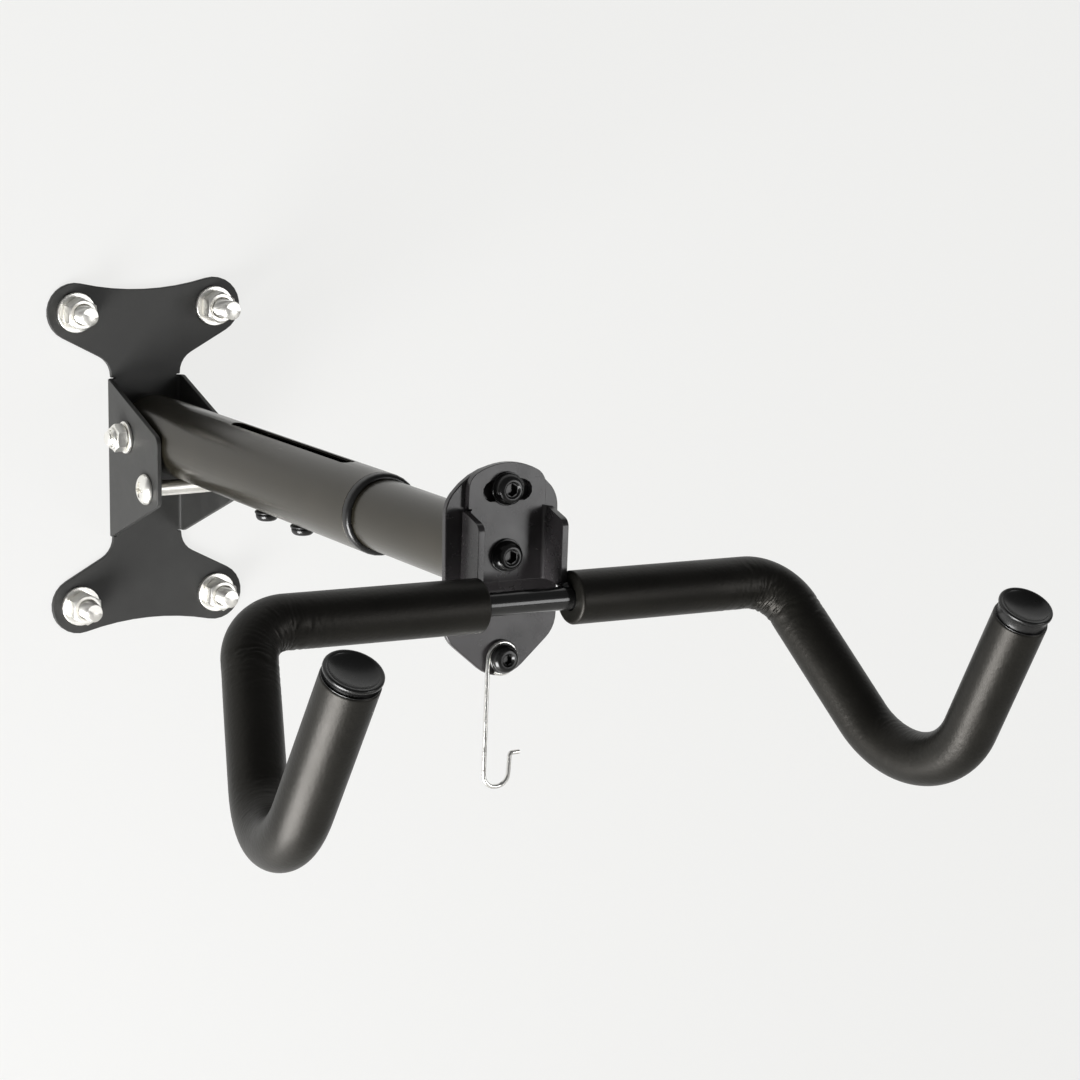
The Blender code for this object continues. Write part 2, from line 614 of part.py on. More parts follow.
def cradle(looks, parent):
    place = spot(ROD_REACH, TILT_RISE - ROD_DROP)
    radii = (CRADLE_RADIUS, ELBOW_RADIUS)
    halves = []
    for side, column in ((-1, "left"), (1, "right")):
        elbow, bottom, tip, up = arm_corners(side)
        skirt = CAP_SKIRTS[column]
        foam_end = tip - up * (skirt + CAP_RIM + GAP)
        rod_end = tip - up * (CAP_DISH + 0.0012 + GAP)
        halves.append([rod_end, bottom, elbow])
        foam_path = bent_path([Vector((side * FOAM_START, 0.0, 0.0)), elbow, bottom, foam_end], radii[::-1])
        foam = add(f"foam_{column}", bar(f"foam_{column}", foam_path, FOAM_RADIUS, 5, capped=False),
                   looks["foam"], parent, place)
        thicken(foam, FOAM_RADIUS - ROD_RADIUS - ROD_CLEARANCE, -1.0)
        add(f"cap_{column}", turned(f"cap_{column}", cap_profile(skirt)), looks["black_plastic"], parent,
            place + foam_end + up * GAP, up.to_track_quat("Z", "Y").to_euler())
    corners = [*halves[0], *reversed(halves[1])]
    add("cradle_rod", bar("cradle_rod", bent_path(corners, radii + radii[::-1]), ROD_RADIUS, 6),
        looks["powder_coat"], parent, place)


# ---------------------------------------------------------------- wire hook
def wire_hook(look, parent):
    """A loop round the hook bolt's bush, a straight shank, and an open J with its tip turned out."""
    loop = [Vector((x, 0.0, z)) for x, z in
            arc((0.0, 0.0), WIRE_LOOP_RADIUS, math.radians(-125), math.radians(180), 20)]
    foot = -WIRE_LOOP_RADIUS - 0.0015
    corners = [loop[-1], Vector((foot, 0.0, -WIRE_LENGTH)), Vector((foot + WIRE_THROAT, 0.0, -WIRE_LENGTH)),
               Vector((foot + WIRE_THROAT + 0.001, 0.0, -WIRE_TIP_RISE)),
               Vector((foot + WIRE_THROAT + 0.0055, 0.0, -WIRE_TIP_RISE))]
    bend = WIRE_BEND_RADIUS
    path = loop[:-1] + bent_path(corners, (bend, bend, 0.0015), 5)
    add("wire_hook", bar("wire_hook", path, WIRE_RADIUS, 3), look, parent, spot(WIRE_PLANE, HOOK_RISE))


# ---------------------------------------------------------------- assembly
def build():
    clear_scene()
    looks = make_finishes()
    wall = axis_empty("wall_axis", (0.0, 0.0, 0.0))
    wall_plate(looks["powder_coat"], wall)
    anchors(looks["zinc"], wall)
    pivot_fasteners(looks["zinc"], wall)
    stop_fasteners(looks["zinc"], wall)

    fold = axis_empty("fold_axis", spot(PIVOT_REACH), wall)
    outer_tube(looks["tube_coat"], fold)
    pivot_sleeve(looks["zinc"], fold)
    guide_bush(looks["black_plastic"], fold)

    slide = axis_empty("slide_axis", spot(INNER_REAR), fold)
    inner_tube(looks["tube_coat"], slide)
    clamp(looks, slide)
    face_plate(looks["powder_coat"], slide)
    face_bolts(looks, slide)

    tilt = axis_empty("tilt_axis", spot(FACE_FRONT, TILT_RISE), slide, TILT_SET)
    tilt_bracket(looks["powder_coat"], tilt)
    cradle(looks, tilt)

    swing = axis_empty("swing_axis", spot(WIRE_PLANE, HOOK_RISE), slide)
    wire_hook(looks["spring_steel"], swing)


build()
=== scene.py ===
# %% [markdown]
# # A bicycle wall rack
# The rack is a bent steel plate on the wall, a telescopic tube that folds up from it, and a cradle of one
# bent bar in foam sleeves.  Its frame is already made, exact and plain.  Each cell below takes one kind of
# piece, says how the real one is made, and gives it that shape and finish.

# %% Load the frame
import json
import math

import bmesh
import bpy
from mathutils import Matrix, Vector, noise


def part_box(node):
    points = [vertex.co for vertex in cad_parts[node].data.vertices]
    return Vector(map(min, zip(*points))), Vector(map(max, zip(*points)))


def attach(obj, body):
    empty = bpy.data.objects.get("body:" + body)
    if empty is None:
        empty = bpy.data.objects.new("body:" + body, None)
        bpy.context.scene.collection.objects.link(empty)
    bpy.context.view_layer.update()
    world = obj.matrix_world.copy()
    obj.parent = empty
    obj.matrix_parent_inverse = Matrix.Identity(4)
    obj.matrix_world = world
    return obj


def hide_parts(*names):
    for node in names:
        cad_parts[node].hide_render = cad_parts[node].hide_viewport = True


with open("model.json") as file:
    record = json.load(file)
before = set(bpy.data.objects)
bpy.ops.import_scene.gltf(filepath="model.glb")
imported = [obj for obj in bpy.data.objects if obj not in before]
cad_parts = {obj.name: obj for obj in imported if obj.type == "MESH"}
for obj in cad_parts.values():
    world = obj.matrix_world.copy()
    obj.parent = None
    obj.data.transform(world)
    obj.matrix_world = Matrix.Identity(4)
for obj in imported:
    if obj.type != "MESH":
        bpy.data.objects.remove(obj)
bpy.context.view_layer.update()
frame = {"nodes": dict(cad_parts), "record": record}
JOINTS = {joint["name"]: joint for joint in frame["record"]["behaviour"]["joints"]}
BODY_OF = {node: body for body, nodes in frame["record"]["behaviour"]["bodies"].items() for node in nodes}
MM = 0.001

# %% [markdown]
# ## Finishes
# No real surface is one even colour.  Powder coat has a fine orange peel, foam has pores, and plated steel
# has a faint grain.  One node group makes all of them: a slow noise wanders between two tones and two
# roughnesses, and a quick noise makes the bumps.  Every finish places the group with values of its own.

# %% A node group that several finishes share
def new_group(name, inputs, outputs):
    group = bpy.data.node_groups.new(name, "ShaderNodeTree")
    for label, kind in inputs:
        group.interface.new_socket(label, in_out="INPUT", socket_type=kind)
    for label, kind in outputs:
        group.interface.new_socket(label, in_out="OUTPUT", socket_type=kind)
    return group, group.nodes.new("NodeGroupInput"), group.nodes.new("NodeGroupOutput")


def surface_group():
    numbers = ("Tone Scale", "Grain Scale", "Grain Height", "Rough Low", "Rough High")
    inputs = (("Vector", "NodeSocketVector"), ("Tone A", "NodeSocketColor"), ("Tone B", "NodeSocketColor"),
              *((label, "NodeSocketFloat") for label in numbers))
    outputs = (("Color", "NodeSocketColor"), ("Roughness", "NodeSocketFloat"),
               ("Normal", "NodeSocketVector"))
    group, given, made = new_group("surface_grain", inputs, outputs)
    slow = group.nodes.new("ShaderNodeTexNoise")
    slow.inputs["Detail"].default_value = 5.0
    slow.inputs["Roughness"].default_value = 0.65
    quick = group.nodes.new("ShaderNodeTexNoise")
    quick.inputs["Detail"].default_value = 3.0
    tone = group.nodes.new("ShaderNodeMix")
    tone.data_type = "RGBA"
    spread = group.nodes.new("ShaderNodeMapRange")
    spread.inputs["From Min"].default_value = 0.3
    spread.inputs["From Max"].default_value = 0.7
    rough = group.nodes.new("ShaderNodeMapRange")
    bump = group.nodes.new("ShaderNodeBump")
    bump.inputs["Distance"].default_value = 1.0
    lift = group.nodes.new("ShaderNodeMath")
    lift.operation = "MULTIPLY"
    wires = ((given, "Vector", slow, "Vector"), (given, "Tone Scale", slow, "Scale"),
             (given, "Vector", quick, "Vector"), (given, "Grain Scale", quick, "Scale"),
             (slow, "Fac", spread, "Value"), (spread, "Result", tone, "Factor"),
             (given, "Tone A", tone, "A"), (given, "Tone B", tone, "B"),
             (spread, "Result", rough, "Value"), (given, "Rough Low", rough, "To Min"),
             (given, "Rough High", rough, "To Max"), (tone, "Result", made, "Color"),
             (rough, "Result", made, "Roughness"), (quick, "Fac", lift, 0), (given, "Grain Height", lift, 1),
             (lift, "Value", bump, "Height"), (bump, "Normal", made, "Normal"))
    for source, out, target, into in wires:
        sockets = [s for s in source.outputs if s.name == out and s.enabled]
        if isinstance(into, int):
            group.links.new(sockets[0], target.inputs[into])
        else:
            group.links.new(sockets[0], [s for s in target.inputs if s.name == into and s.enabled][0])
    return group


SURFACE = surface_group()
print("shared group", SURFACE.name, "with", len(SURFACE.nodes), "nodes")


# %% One recipe for every finish
def surface_finish(name, tones, scales, height, roughness, shader_values):
    """A finish from the shared group; the even values are set on the shader itself."""
    look = bpy.data.materials.new(name)
    look.use_nodes = True
    tree = look.node_tree
    shader = tree.nodes["Principled BSDF"]
    place = tree.nodes.new("ShaderNodeTexCoord")
    grain = tree.nodes.new("ShaderNodeGroup")
    grain.node_tree = SURFACE
    grain.inputs["Tone A"].default_value = (*tones[0], 1.0)
    grain.inputs["Tone B"].default_value = (*tones[1], 1.0)
    grain.inputs["Tone Scale"].default_value, grain.inputs["Grain Scale"].default_value = scales
    grain.inputs["Grain Height"].default_value = height
    grain.inputs["Rough Low"].default_value, grain.inputs["Rough High"].default_value = roughness
    tree.links.new(place.outputs["Object"], grain.inputs["Vector"])
    for output, socket in (("Color", "Base Color"), ("Roughness", "Roughness"), ("Normal", "Normal")):
        tree.links.new(grain.outputs[output], shader.inputs[socket])
    for socket, value in shader_values.items():
        shader.inputs[socket].default_value = value
    return look


def greys(dark, light):
    return (dark, dark, dark), (light, light, light)


# Each row holds two tones, the scales of tone and grain per metre, the grain's height in metres, two
# roughnesses, and the values that are the same all over the surface.
FINISH_ROWS = {
    "powder_coat": (((0.024, 0.024, 0.023), (0.031, 0.031, 0.030)), (60, 1400), 0.00003, (0.42, 0.54),
                    {"Specular IOR Level": 0.32}),
    "bracket_coat": (((0.020, 0.018, 0.019), (0.028, 0.026, 0.027)), (70, 1100), 0.00001, (0.22, 0.30),
                     {"Specular IOR Level": 0.5}),
    "tube_coat": (((0.010, 0.009, 0.006), (0.016, 0.014, 0.010)), (40, 1600), 0.00001, (0.22, 0.27),
                  {"Specular IOR Level": 0.42, "Specular Tint": (1.0, 0.93, 0.80, 1.0)}),
    "zinc": (((0.88, 0.865, 0.82), (0.96, 0.95, 0.91)), (140, 900), 0.000002, (0.32, 0.42),
             {"Metallic": 1.0}),
    "black_oxide": (greys(0.004, 0.008), (160, 900), 0.00001, (0.18, 0.28), {"Specular IOR Level": 0.4}),
    "black_plastic": (greys(0.004, 0.007), (90, 1300), 0.00001, (0.24, 0.34), {"Specular IOR Level": 0.4}),
    "rod_coat": (greys(0.006, 0.010), (70, 1100), 0.00001, (0.13, 0.19), {"Specular IOR Level": 0.6}),
    "foam": (((0.0035, 0.0034, 0.0028), (0.006, 0.0058, 0.0048)), (55, 620), 0.0001, (0.38, 0.46),
             {"Specular IOR Level": 0.22, "Specular Tint": (1.0, 0.95, 0.88, 1.0)}),
    "spring_steel": (((0.72, 0.72, 0.70), (0.86, 0.85, 0.82)), (300, 1500), 0.00001, (0.12, 0.24),
                     {"Metallic": 1.0}),
}
FINISHES = {name: surface_finish(name, *row) for name, row in FINISH_ROWS.items()}
print("finishes:", ", ".join(FINISHES))


# %% [markdown]
# ## Camera, wall and light
# The rack hangs on a pale wall in soft daylight.  The camera stands to its left, a little above, with a long
# lens, so the tube runs away from us without much perspective.  The wall is a stage piece: it is clear
# when seen from behind, so that the rack can be looked at from that side too.

# %% Camera
CAMERA_PLACE = Vector((-0.5935, -1.4233, 0.2632))
CAMERA_YAW, CAMERA_PITCH, CAMERA_ROLL = -0.5322, -0.1979, 0.0157
FOCAL_LENGTH, SENSOR_WIDTH = 97.09, 36.0
lens = bpy.data.cameras.new("camera")
lens.lens = FOCAL_LENGTH
lens.sensor_width = SENSOR_WIDTH
camera = bpy.data.objects.new("camera", lens)
bpy.context.collection.objects.link(camera)
camera.matrix_world = (Matrix.Translation(CAMERA_PLACE) @ Matrix.Rotation(CAMERA_YAW, 4, "Z")
                       @ Matrix.Rotation(math.pi / 2 + CAMERA_PITCH, 4, "X")
                       @ Matrix.Rotation(CAMERA_ROLL, 4, "Z"))
bpy.context.scene.camera = camera
bpy.context.scene.view_settings.view_transform = "Standard"
print("camera", [round(value, 3) for value in CAMERA_PLACE], "lens", FOCAL_LENGTH, "mm")


# %% Wall and floor
WALL_BEHIND = 0.4 * MM
FLOOR_DROP = 0.9
STAGE_HALF = 4.0
PAINT_GLOW = (1.0, 1.0, 0.985, 1.0)


def stage_plane(name, matrix, look):
    shape = bmesh.new()
    bmesh.ops.create_grid(shape, x_segments=1, y_segments=1, size=STAGE_HALF, matrix=matrix)
    mesh = bpy.data.meshes.new(name)
    shape.to_mesh(mesh)
    shape.free()
    mesh.materials.append(look)
    plane = bpy.data.objects.new(name, mesh)
    bpy.context.collection.objects.link(plane)


def paint(name, colour, glow, clear_behind):
    look = bpy.data.materials.new(name)
    look.use_nodes = True
    tree = look.node_tree
    shader = tree.nodes["Principled BSDF"]
    shader.inputs["Base Color"].default_value = (*colour, 1.0)
    shader.inputs["Emission Color"].default_value = PAINT_GLOW
    shader.inputs["Emission Strength"].default_value = glow
    shader.inputs["Roughness"].default_value = 0.9
    if clear_behind:
        side = tree.nodes.new("ShaderNodeNewGeometry")
        clear = tree.nodes.new("ShaderNodeBsdfTransparent")
        choose = tree.nodes.new("ShaderNodeMixShader")
        tree.links.new(side.outputs["Backfacing"], choose.inputs[0])
        tree.links.new(shader.outputs[0], choose.inputs[1])
        tree.links.new(clear.outputs[0], choose.inputs[2])
        tree.links.new(choose.outputs[0], tree.nodes["Material Output"].inputs[0])
    return look


upright = Matrix.Translation((0.0, WALL_BEHIND, 0.0)) @ Matrix.Rotation(math.pi / 2, 4, "X")
stage_plane("wall_stage", upright, paint("wall_paint", (0.05, 0.05, 0.05), 0.80, True))
stage_plane("floor_stage", Matrix.Translation((0.0, 0.0, -FLOOR_DROP)),
            paint("floor_paint", (0.70, 0.69, 0.67), 0.0, False))
print("wall", WALL_BEHIND / MM, "mm behind the rack, floor", FLOOR_DROP, "m below it")


# %% Light
GROUND_STOP, HORIZON_STOP, SKY_STOP = 0.30, 0.52, 0.75


def soft_light(name, place, aim, size, power):
    """A square panel of the given side in metres and power in watts."""
    data = bpy.data.lights.new(name, "AREA")
    data.size = size
    data.energy = power
    light = bpy.data.objects.new(name, data)
    bpy.context.collection.objects.link(light)
    light.location = place
    light.rotation_euler = (Vector(aim) - Vector(place)).to_track_quat("-Z", "Y").to_euler()


def daylight(above, level, below):
    """A world that is brightest at the horizon, dimmer above and nearly dark below."""
    world = bpy.data.worlds.new("daylight")
    bpy.context.scene.world = world
    world.use_nodes = True
    tree = world.node_tree
    place = tree.nodes.new("ShaderNodeTexCoord")
    height = tree.nodes.new("ShaderNodeSeparateXYZ")
    spread = tree.nodes.new("ShaderNodeMapRange")
    spread.inputs["From Min"].default_value = -1.0
    ramp = tree.nodes.new("ShaderNodeValToRGB")
    ramp.color_ramp.elements[0].position = GROUND_STOP
    ramp.color_ramp.elements[0].color = (below, below, below, 1.0)
    ramp.color_ramp.elements[1].position = SKY_STOP
    ramp.color_ramp.elements[1].color = (above, above, above, 1.0)
    ramp.color_ramp.elements.new(HORIZON_STOP).color = (level, level, level, 1.0)
    tree.links.new(place.outputs["Generated"], height.inputs[0])
    tree.links.new(height.outputs["Z"], spread.inputs["Value"])
    tree.links.new(spread.outputs["Result"], ramp.inputs["Fac"])
    tree.links.new(ramp.outputs["Color"], tree.nodes["Background"].inputs["Color"])


daylight(0.16, 0.25, 0.03)
soft_light("low_panel_left", (-0.80, -0.62, -0.74), (0.0, -0.45, -0.05), 0.80, 50)
soft_light("front_panel_right", (1.35, -2.1, -0.15), (0.0, -0.3, 0.0), 0.9, 13)
print("lights:", ", ".join(light.name for light in bpy.data.lights))


# %% [markdown]
# ## Making a piece
# Every new piece ends the same way: its mesh goes in an object at the origin, it is shaded smooth with
# its real edges kept sharp, it takes a finish, it rides on the body it is fixed to, and the plain frame node
# it stands for is hidden and noted as replaced.

# %% Finish a piece
REPLACED = set()
SLOT_OF = {part["node"]: part["material_slot"] for part in frame["record"]["subparts"]}


def settle(name, shape, look, node, sharp=35):
    """Turns a bmesh into a finished piece; the first one made for a frame node stands for that node."""
    mesh = bpy.data.meshes.new(name)
    shape.to_mesh(mesh)
    shape.free()
    mesh.shade_smooth()
    mesh.set_sharp_from_angle(angle=math.radians(sharp))
    mesh.materials.append(FINISHES[look])
    piece = bpy.data.objects.new(name, mesh)
    bpy.context.collection.objects.link(piece)
    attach(piece, BODY_OF[node])
    if node not in REPLACED:
        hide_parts(node)
        REPLACED.add(node)
    return piece


print("frame nodes to be replaced:", len(BODY_OF))


# %% [markdown]
# ## Sheet metal and tubes
# A punched plate, a bent bracket and a sawn tube have the right shape in the frame already, but with edges
# like razors.  Real edges are rounded by tumbling and by the thickness of the coat, and that thin
# round is what catches the light.  So each one is a copy of the frame's mesh, merged, with its flat
# triangles dissolved and its edges bevelled by a few tenths of a millimetre.

# %% Round the edges of a copy
FLAT_WITHIN = math.radians(0.5)
CORNER_ABOVE = math.radians(30)
BEVEL_STEPS = 3


def softened(node, look, width):
    shape = bmesh.new()
    shape.from_mesh(frame["nodes"][node].data)
    bmesh.ops.remove_doubles(shape, verts=shape.verts, dist=0.01 * MM)
    bmesh.ops.dissolve_limit(shape, angle_limit=FLAT_WITHIN, verts=shape.verts, edges=shape.edges)
    corners = [edge for edge in shape.edges
               if len(edge.link_faces) == 2 and edge.calc_face_angle(0.0) > CORNER_ABOVE]
    if width:
        bmesh.ops.bevel(shape, geom=corners, offset=width, offset_type="OFFSET", affect="EDGES",
                        segments=BEVEL_STEPS, profile=0.5, clamp_overlap=True, material=-1)
    piece = settle(f"{node}_finished", shape, look, node, 40)
    weigh = piece.modifiers.new("Flat faces stay flat", "WEIGHTED_NORMAL")
    weigh.keep_sharp = True
    return piece


for node, look, width in (("wall_plate", "powder_coat", 0.5 * MM), ("face_plate", "bracket_coat", 0.5 * MM),
                          ("tilt_bracket", "bracket_coat", 0.6 * MM), ("outer_tube", "tube_coat", 0.25 * MM),
                          ("inner_tube", "tube_coat", 0.25 * MM), ("guide_bush", "black_plastic", 0.0),
                          ("pivot_sleeve", "zinc", 0.2 * MM), ("nut_plate", "zinc", 0.3 * MM),
                          ("hook_bush", "zinc", 0.2 * MM), ("wire_hook", "spring_steel", 0.0)):
    made = softened(node, look, width)
    print(made.name, len(made.data.polygons), "faces")

# %% Washers
WASHERS = sorted(name for name in BODY_OF if "washer" in name)
for node in WASHERS:
    softened(node, SLOT_OF[node], 0.4 * MM)
print("washers softened:", len(WASHERS))


# %% [markdown]
# ## Turned and threaded fasteners
# A nut is a slice of hexagon bar whose corners are turned off at 30 degrees; a stud is a bar with a rolled
# thread; a button screw has a domed head with a hexagon socket.  All three are spun from half a profile.
# A nut and a socket then need a boolean cut.  A thread is a finely spun bar whose points are pulled in
# along a screw line.

# %% Spin a profile, place it, and cut one shape with another
def spun(profile, steps=48):
    shape = bmesh.new()
    points = [shape.verts.new((radius, 0.0, height)) for radius, height in profile]
    edges = [shape.edges.new(pair) for pair in zip(points, points[1:])]
    bmesh.ops.spin(shape, geom=points + edges, cent=(0, 0, 0), axis=(0, 0, 1), angle=math.tau, steps=steps,
                   use_merge=True, use_duplicate=False)
    bmesh.ops.remove_doubles(shape, verts=shape.verts, dist=0.001 * MM)
    bmesh.ops.recalc_face_normals(shape, faces=shape.faces)
    return shape


def hexagon(across_flats, low, high):
    shape = bmesh.new()
    radius = across_flats / 2 / math.cos(math.pi / 6)
    bmesh.ops.create_cone(shape, cap_ends=True, segments=6, radius1=radius, radius2=radius,
                          depth=high - low, matrix=Matrix.Translation((0, 0, (low + high) / 2)))
    return shape


def combined(first, second, operation):
    """The boolean of two bmeshes, as a new bmesh."""
    holders = []
    for shape in (first, second):
        mesh = bpy.data.meshes.new("working")
        shape.to_mesh(mesh)
        shape.free()
        holders.append(bpy.data.objects.new("working", mesh))
        bpy.context.collection.objects.link(holders[-1])
    step = holders[0].modifiers.new("cut", "BOOLEAN")
    step.operation = operation
    step.object = holders[1]
    step.solver = "EXACT"
    result = bmesh.new()
    result.from_object(holders[0], bpy.context.evaluated_depsgraph_get())
    for holder in holders:
        bpy.data.objects.remove(holder)
    return result


def facing(node, direction, inward_end):
    """The matrix that stands a +Z piece on a frame node: its seat is at one end of the node's box."""
    low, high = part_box(node)
    place = (low + high) / 2
    axis = max(range(3), key=lambda i: abs(direction[i]))
    place[axis] = inward_end
    return Matrix.Translation(place) @ Vector(direction).to_track_quat("Z", "Y").to_matrix().to_4x4()


def move_to(shape, matrix):
    bmesh.ops.transform(shape, matrix=matrix, verts=shape.verts)
    return shape


# %% Threads
# The thread's depth is a share of its pitch.  The chamfer, and where the skin starts, are shares of the
# radius.
M10_PITCH, M8_PITCH = 1.5 * MM, 1.25 * MM
THREAD_DEPTH = 0.55
BAR_CHAMFER = 0.12
SKIN_BEYOND = 0.8
RUNGS_PER_TURN = 6
BAR_SIDES = 40
OUTWARD = Vector((0.0, -1.0, 0.0))


def thread(shape, pitch, low, high, radius):
    """Pulls a spun bar's skin in along a screw line between two heights."""
    depth = THREAD_DEPTH * pitch
    for vert in shape.verts:
        reach = math.hypot(vert.co.x, vert.co.y)
        if reach < SKIN_BEYOND * radius or not low < vert.co.z < high:
            continue
        turn = vert.co.z / pitch - math.atan2(vert.co.y, vert.co.x) / math.tau
        groove = abs(2 * (turn % 1.0) - 1)
        run_out = min(1.0, (vert.co.z - low) / pitch, (high - vert.co.z) / pitch)
        pull = 1 - depth * groove * run_out / radius
        vert.co.x *= pull
        vert.co.y *= pull
    return shape


def threaded_bar(radius, low, high, pitch, thread_low):
    """A round bar along +Z with a chamfered end and a thread from one height to its end."""
    chamfer = BAR_CHAMFER * radius
    count = int((high - thread_low) / pitch * RUNGS_PER_TURN)
    rungs = [thread_low + (high - chamfer - thread_low) * i / count for i in range(count + 1)]
    profile = [(0.0, low), (radius, low), *((radius, height) for height in rungs), (radius - chamfer, high),
               (0.0, high)]
    return thread(spun(profile, BAR_SIDES), pitch, thread_low, high + pitch, radius)


PLAIN_SHARE = 0.3
for node in sorted(name for name in BODY_OF if name.startswith("anchor_stud")):
    low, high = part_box(node)
    length = high.y - low.y
    bar = threaded_bar((high.x - low.x) / 2, 0.0, length, M10_PITCH, PLAIN_SHARE * length)
    move_to(bar, facing(node, OUTWARD, high.y))
    settle(f"{node}_finished", bar, "zinc", node, 50)
print("studs threaded at", M10_PITCH / MM, "mm")


# %% Nuts
# The turned flat and the collar's width are shares of the width across flats, and the collar's height is a
# share of the nut's.  A cutter runs past what it cuts.
TURNED_FLAT = 0.95
COLLAR_WIDTH = 0.86
COLLAR_HEIGHT = 0.25
LEAD_IN = 0.6 * MM
PAST = 1 * MM


def nut_shape(across_flats, height, bore, locking):
    """A hexagon nut with turned-off corners; a lock nut also has a rounded collar on its outer face."""
    corner = across_flats / math.sqrt(3)
    flat = TURNED_FLAT * across_flats / 2
    slope = (corner - flat) * math.tan(math.radians(30))
    wide = corner + 0.1 * MM
    cone = spun([(0.0, 0.0), (flat, 0.0), (wide, slope), (wide, height - slope), (flat, height),
                 (0.0, height)])
    blank = combined(hexagon(across_flats, -PAST, height + PAST), cone, "INTERSECT")
    top = height + locking
    if locking:
        collar = COLLAR_WIDTH * across_flats / 2
        ring = spun([(0.0, height - PAST), (collar, height - PAST), (collar, height + 0.6 * locking),
                     (collar - 0.3 * locking, top), (0.0, top)])
        blank = combined(blank, ring, "UNION")
    mouth = bore + LEAD_IN + PAST
    hole = spun([(0.0, -PAST), (mouth, -PAST), (bore, LEAD_IN), (bore, top - LEAD_IN), (mouth, top + PAST),
                 (0.0, top + PAST)])
    return combined(blank, hole, "DIFFERENCE")


AWAY = {"pivot_nut": Vector((-1, 0, 0)), "stop_nut": Vector((1, 0, 0)), "tilt_nut": -OUTWARD,
        "lock_nut": -OUTWARD, "hook_nut": -OUTWARD}
M6_BORE, M8_BORE, M10_BORE = 3.2 * MM, 4.2 * MM, 5.2 * MM
BORES = {"hook_nut": M6_BORE, "pivot_nut": M8_BORE, "stop_nut": M8_BORE, "tilt_nut": M8_BORE,
         "lock_nut": M8_BORE}
LOCKING = ("pivot_nut", "stop_nut")
NUTS = sorted(name for name in BODY_OF if name.endswith("_nut") or name.startswith("anchor_nut"))
for node in NUTS:
    low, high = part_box(node)
    direction = AWAY.get(node, OUTWARD)
    axis = max(range(3), key=lambda i: abs(direction[i]))
    height = high[axis] - low[axis]
    seat = low[axis] if direction[axis] > 0 else high[axis]
    across_flats = high.z - low.z if axis != 0 else high.y - low.y
    collar = COLLAR_HEIGHT * height if node in LOCKING else 0.0
    across_flats = min(across_flats, high.z - low.z)
    turned_nut = nut_shape(across_flats, height - collar, BORES.get(node, M10_BORE), collar)
    move_to(turned_nut, facing(node, direction, seat))
    settle(f"{node}_finished", turned_nut, SLOT_OF[node], node, 25)
print("nuts turned:", len(NUTS))


# %% Button screws
# The crown is a share of the head's radius, the rim and the socket's floor are shares of its height, and the
# socket's mouth is a share of its width across flats.
CROWN_SHARE = 0.56
RIM_SHARE = 0.16
POCKET_FLOOR = 0.35
MOUTH_SHARE = 0.74
HEAD_STEPS = 56
DOME_STEPS = 12
BREAK = 0.2 * MM


def button_screw(radius, length, head_radius, head_height, socket, flange):
    """A domed head above zero along +Z with a hexagon socket, on a plain shank."""
    crown = CROWN_SHARE * head_radius
    rim = RIM_SHARE * head_height
    angles = [math.radians(90) * i / DOME_STEPS for i in range(DOME_STEPS + 1)]
    across, above = head_radius - flange - crown, head_height - rim
    dome = [(crown + across * math.cos(angle), rim + above * math.sin(angle)) for angle in angles]
    profile = [(0.0, -length), (radius - 0.5 * MM, -length), (radius, 0.5 * MM - length), (radius, 0.0),
               (head_radius - BREAK, 0.0), (head_radius, BREAK), (head_radius, rim - BREAK),
               (head_radius - BREAK, rim), *dome, (0.0, head_height)]
    pocket = hexagon(socket, POCKET_FLOOR * head_height, head_height + PAST)
    mouth = MOUTH_SHARE * socket
    lead = spun([(0.0, head_height - 0.8 * MM), (mouth - 0.8 * MM, head_height - 0.8 * MM),
                 (mouth + 0.5 * MM, head_height + 0.5 * MM), (0.0, head_height + 0.5 * MM)])
    return combined(combined(spun(profile, HEAD_STEPS), pocket, "DIFFERENCE"), lead, "DIFFERENCE")


# Each row holds the head's radius and height, the socket across its flats, the rim left round the dome, and
# the shank's radius, in millimetres.
HEADS = {"tilt_bolt": (7.2, 5.2, 5.0, 0.6, 4.0), "lock_bolt": (7.2, 5.2, 5.0, 0.4, 4.0),
         "hook_bolt": (6.5, 4.2, 4.0, 0.4, 3.0), "clamp_screw_rear": (5.5, 3.3, 4.0, 0.0, 3.0),
         "clamp_screw_front": (5.5, 3.3, 4.0, 0.0, 3.0)}
DOWNWARD = Vector((0.0, 0.0, -1.0))
for node, sizes in HEADS.items():
    head_radius, head_height, socket, flange, radius = [size * MM for size in sizes]
    low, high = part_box(node)
    direction = DOWNWARD if node.startswith("clamp") else OUTWARD
    axis = 2 if direction is DOWNWARD else 1
    seat = low[axis] + head_height
    screw = button_screw(radius, high[axis] - seat, head_radius, head_height, socket, flange)
    move_to(screw, facing(node, direction, seat))
    settle(f"{node}_finished", screw, "black_oxide", node, 30)
print("button screws:", ", ".join(HEADS))


# %% Stop bolt
PAN_RADIUS, PAN_RIM, PAN_RISE = 8 * MM, 0.6 * MM, 4.0 * MM
PAN_HEAD = PAN_RIM + PAN_RISE
RECESS_REACH, RECESS_HALF = 4.0 * MM, 0.9 * MM
RECESS_FLOOR, RECESS_TOP = 2.6 * MM, 6 * MM
SHANK_RADIUS = 4 * MM
LEFTWARD = Vector((-1.0, 0.0, 0.0))


